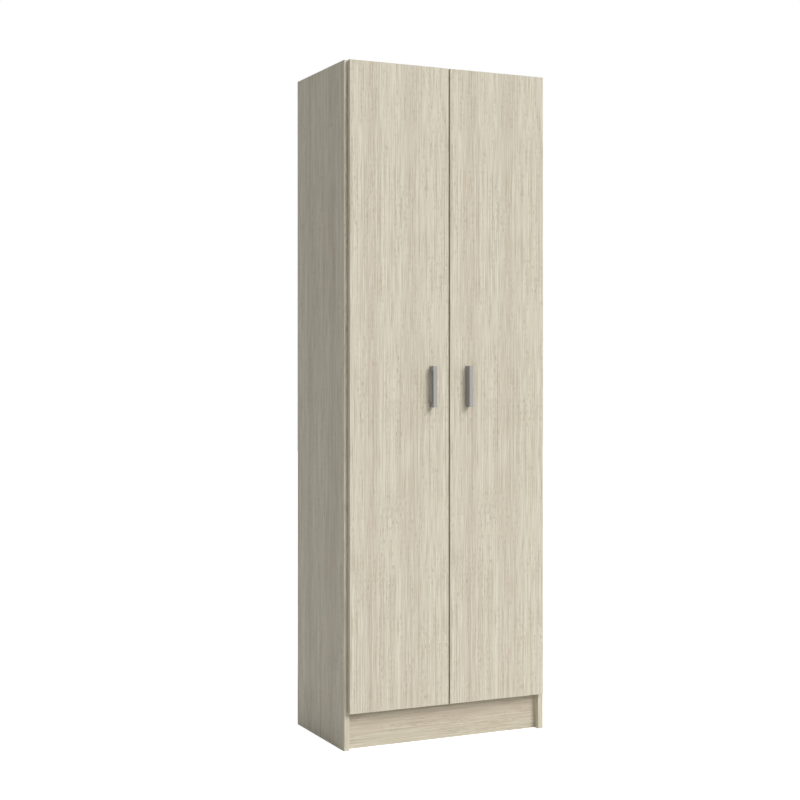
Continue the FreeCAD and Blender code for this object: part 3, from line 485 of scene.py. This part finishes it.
def screw(head_radius, head_height, shank_radius, length, pitch):
    """A pan head with a cross recess on a threaded shank. The head's underside is at height 0."""
    core = shank_radius * CORE_SHARE
    rings = [circle(core * 0.5, -length, even_angles())]
    rings += thread(core, shank_radius, pitch, -length + shank_radius, -0.8)
    rings.append(circle(core, -0.4, even_angles()))
    for radius, height in HEAD_PROFILE:
        rings.append(circle(max(head_radius * radius, core), head_height * height, even_angles()))
    points, faces = skin(rings, (0, 0, -length))
    ring_start = (len(rings) - 1) * SIDES
    cross_recess(points, faces, ring_start, head_height, head_height * RECESS_DEPTH,
                 head_radius * RECESS_REACH, head_radius * RECESS_HALF)
    return points, faces


def shelf_peg():
    return turned(((0, -9.5), (2.1, -9.5), (2.5, -9.1), (2.5, 0), (3.85, 0), (4, 0.15), (4, 0.65),
                   (3.85, 0.8), (2.5, 0.8), (2.5, 7.3), (2.2, 7.8), (1.5, 8), (0, 8)))


def bumper_dome():
    return turned(((0, 0), (3.85, 0), (4, 0.2), (4, 0.9), (3.7, 1.7), (2.9, 2.3), (1.6, 2.62), (0, 2.7)))


def outline_of_cup():
    """The flange: a line drawn tight round the rim and the two screw wings, in short steps."""
    spots = []
    wing_x = WING_X - CUP_X
    discs = ((0, 0, RIM_RADIUS), (wing_x, WING_REACH, WING_RADIUS), (wing_x, -WING_REACH, WING_RADIUS))
    for centre_x, centre_y, radius in discs:
        for x, y, _ in circle(radius, 0, even_angles(72)):
            spots.append((centre_x + x, centre_y + y))
    spots.sort()
    hull = []
    for way in (spots, spots[::-1]):
        chain = []
        for x, y in way:
            while len(chain) > 1:
                (ax, ay), (bx, by) = chain[-2:]
                if (bx - ax) * (y - ay) - (by - ay) * (x - ax) > 0:
                    break
                chain.pop()
            chain.append((x, y))
        hull += chain[:-1]
    outline = []
    for (ax, ay), (bx, by) in zip(hull, hull[1:] + hull[:1]):
        steps = max(1, round(math.dist((ax, ay), (bx, by)) / 2))
        outline += [(ax + (bx - ax) * step / steps, ay + (by - ay) * step / steps) for step in range(steps)]
    return outline


def hinge_cup():
    """A pressed cup with a flange. The door's back is at height 0."""
    outline = outline_of_cup()
    angles = [math.atan2(y, x) for x, y in outline]

    def flange(height, inset=0.0):
        return [(x - inset * math.cos(angle), y - inset * math.sin(angle), height)
                for (x, y), angle in zip(outline, angles)]

    rings = [circle(16.3, -11.6, angles), circle(17.2, -11.2, angles), circle(17.5, -10.4, angles),
             circle(17.5, 0, angles), flange(0), flange(FLANGE - 0.4), flange(FLANGE, 0.4),
             circle(17.4, FLANGE, angles), circle(16.95, FLANGE - 0.15, angles),
             circle(16.8, FLANGE - 0.6, angles), circle(16.8, -10.3, angles), circle(16.4, -10.9, angles)]
    return skin(rings, (0, 0, -11.6), (0, 0, -10.9))


def hinge_shells():
    """The fine pieces of one side's hinges: cups, pins and screws."""
    cups, pins, cup_screws, plate_screws, arm_screws = (Shell() for _ in range(5))
    pin = turned(((0, -10.6), (0.9, -10.6), (1.2, -10.3), (1.2, 10.3), (0.9, 10.6), (0, 10.6)))
    for level in HINGE_LEVELS:
        cups.add(hinge_cup(), (CUP_X, DOOR_BACK_Y, level), "+y")
        pins.add(pin, (*HINGE_PIN_PLACE, level), "+z")
        arm_screws.add(screw(*ARM_SCREW), (ARM_TOP_X, ARM_SCREW_Y, level), "+x")
        for sign in (-1, 1):
            place = (WING_X, DOOR_BACK_Y + FLANGE, level + WING_REACH * sign)
            cup_screws.add(screw(*CUP_SCREW), place, "+y")
            place = (PLATE_TOP_X, PLATE_Y, level + PLATE_REACH * sign)
            plate_screws.add(screw(*PLATE_SCREW), place, "+x")
    return cups, pins, cup_screws, plate_screws, arm_screws


def dress_hardware():
    handle = satin_metal("satin_handle", colour(163, 162, 160), 0.3, 0.45)
    nickel = plated_metal("nickel_plate", colour(206, 204, 198), 0.3)
    zinc = plated_metal("cast_zinc", colour(178, 180, 182), 0.45)
    white_plastic = moulded("white_plastic", colour(236, 234, 228))
    clear_plastic = moulded("bumper_plastic", colour(214, 214, 208))
    wood = beech("dowel_beech")

    cups, pins, cup_screws, plate_screws, arm_screws = hinge_shells()
    handle_screws, bumpers = Shell(), Shell()
    for level in HANDLE_SCREW_LEVELS:
        handle_screws.add(screw(*HANDLE_SCREW), (HANDLE_SCREW_X, DOOR_BACK_Y, level), "+y")
    for level in BUMPER_LEVELS:
        bumpers.add(bumper_dome(), (BUMPER_X, DOOR_BACK_Y, level), "+y")
    for side, mirrored in (("left_", False), ("right_", True)):
        leaf = side + "door_leaf"
        dress(side + "handle", handle)
        dress(side + "hinge_arms", nickel)
        dress(side + "mounting_plates", zinc)
        cups.replace(side + "hinge_cups", leaf, "hinge_steel", nickel, mirrored)
        pins.replace(side + "hinge_pins", leaf, "hinge_steel", nickel, mirrored)
        cup_screws.replace(side + "cup_screws", leaf, "screw_steel", nickel, mirrored)
        handle_screws.replace(side + "handle_screws", leaf, "screw_steel", nickel, mirrored)
        bumpers.replace(side + "door_bumpers", leaf, "bumper_plastic", clear_plastic, mirrored)
        plate_screws.replace(side + "plate_screws", "carcass", "screw_steel", nickel, mirrored)
        arm_screws.replace(side + "arm_screws", "carcass", "screw_steel", nickel, mirrored)

    pegs, bracket_screw = Shell(), Shell()
    for sign, inwards in ((-1, "+x"), (1, "-x")):
        for row in PEG_ROWS:
            for level in PEG_LEVELS:
                pegs.add(shelf_peg(), (INNER_X * sign, row, level), inwards)
    bracket_screw.add(screw(*BRACKET_SCREW), BRACKET_SCREW_PLACE, "-z")
    pegs.replace("shelf_pins", "carcass", "screw_steel", nickel)
    bracket_screw.replace("bracket_screw", "carcass", "screw_steel", nickel)
    dress("cam_locks", zinc)
    dress("cam_bolts", nickel)
    dress("panel_dowels", wood)
    dress("kickboard_dowels", wood)
    dress("back_joining_strip", white_plastic)
    dress("wall_bracket", nickel)


# Studio
FLOOR_REACH = 14
FLOOR_WHITE = 0.8
FLOOR_SHOWN_GLOW = 0.9
FLOOR_SHOWN_WHITE = 0.5
WORLD_LIGHT = 0.11


def seen_straight(nodes):
    """1 for rays from the camera and for mirrored and refracted ones, else 0."""
    path = nodes.add("ShaderNodeLightPath")
    mirrored = nodes.math("MAXIMUM", path.outputs["Is Glossy Ray"], path.outputs["Is Transmission Ray"])
    return nodes.math("MAXIMUM", path.outputs["Is Camera Ray"], mirrored)


def add_floor():
    """A plain floor that shows white and keeps a light shadow of the cabinet."""
    corners = [(-FLOOR_REACH, -FLOOR_REACH, 0), (FLOOR_REACH, -FLOOR_REACH, 0),
               (FLOOR_REACH, FLOOR_REACH, 0), (-FLOOR_REACH, FLOOR_REACH, 0)]
    mesh = bpy.data.meshes.new("floor")
    mesh.from_pydata(corners, [], [(0, 1, 2, 3)])
    floor = bpy.data.objects.new("floor", mesh)
    bpy.context.scene.collection.objects.link(floor)
    material, nodes = new_material("floor_white")
    plain = nodes.add("ShaderNodeBsdfDiffuse")
    plain.inputs["Color"].default_value = (FLOOR_WHITE, FLOOR_WHITE, FLOOR_WHITE, 1)
    shown = nodes.add("ShaderNodeBsdfDiffuse")
    shown.inputs["Color"].default_value = (FLOOR_SHOWN_WHITE, FLOOR_SHOWN_WHITE, FLOOR_SHOWN_WHITE, 1)
    glow = nodes.add("ShaderNodeEmission")
    glow.inputs["Strength"].default_value = FLOOR_SHOWN_GLOW
    both = nodes.add("ShaderNodeAddShader")
    nodes.join(shown.outputs[0], both.inputs[0])
    nodes.join(glow.outputs[0], both.inputs[1])
    choice = nodes.add("ShaderNodeMixShader")
    nodes.join(seen_straight(nodes), choice.inputs["Fac"])
    nodes.join(plain.outputs[0], choice.inputs[1])
    nodes.join(both.outputs[0], choice.inputs[2])
    output = nodes.add("ShaderNodeOutputMaterial")
    nodes.join(choice.outputs[0], output.inputs["Surface"])
    floor.data.materials.append(material)


def light_world():
    """A white background that lights the cabinet at a lower, even level."""
    world = bpy.data.worlds.new("studio")
    world.use_nodes = True
    nodes = Nodes(world.node_tree)
    light = nodes.add("ShaderNodeBackground")
    light.inputs["Strength"].default_value = WORLD_LIGHT
    white = nodes.add("ShaderNodeBackground")
    choice = nodes.add("ShaderNodeMixShader")
    for background in (light, white):
        background.inputs["Color"].default_value = (1, 1, 1, 1)
    white.inputs["Strength"].default_value = 1
    nodes.join(seen_straight(nodes), choice.inputs["Fac"])
    nodes.join(light.outputs[0], choice.inputs[1])
    nodes.join(white.outputs[0], choice.inputs[2])
    output = nodes.add("ShaderNodeOutputWorld")
    nodes.join(choice.outputs[0], output.inputs["Surface"])
    bpy.context.scene.world = world


def add_lamp(name, turn, height, softness, strength):
    """A distant soft lamp: its turn to the right of straight in front, its height above level and
    its width as seen from the cabinet, all in degrees."""
    data = bpy.data.lights.new(name, "SUN")
    data.angle = math.radians(softness)
    data.energy = strength
    lamp = bpy.data.objects.new(name, data)
    lamp.rotation_euler = (math.radians(90 - height), 0, math.radians(turn))
    bpy.context.scene.collection.objects.link(lamp)


def add_lamps():
    add_lamp("key_lamp", 22, 32, 34, 2.2)
    add_lamp("left_lamp", -34, 30, 34, 0.36)
    add_lamp("back_lamp", 152, 30, 36, 1.3)


add_camera()
add_floor()
light_world()
add_lamps()
dress_boards()
dress_hardware()
bpy.context.scene.view_settings.view_transform = "Standard"
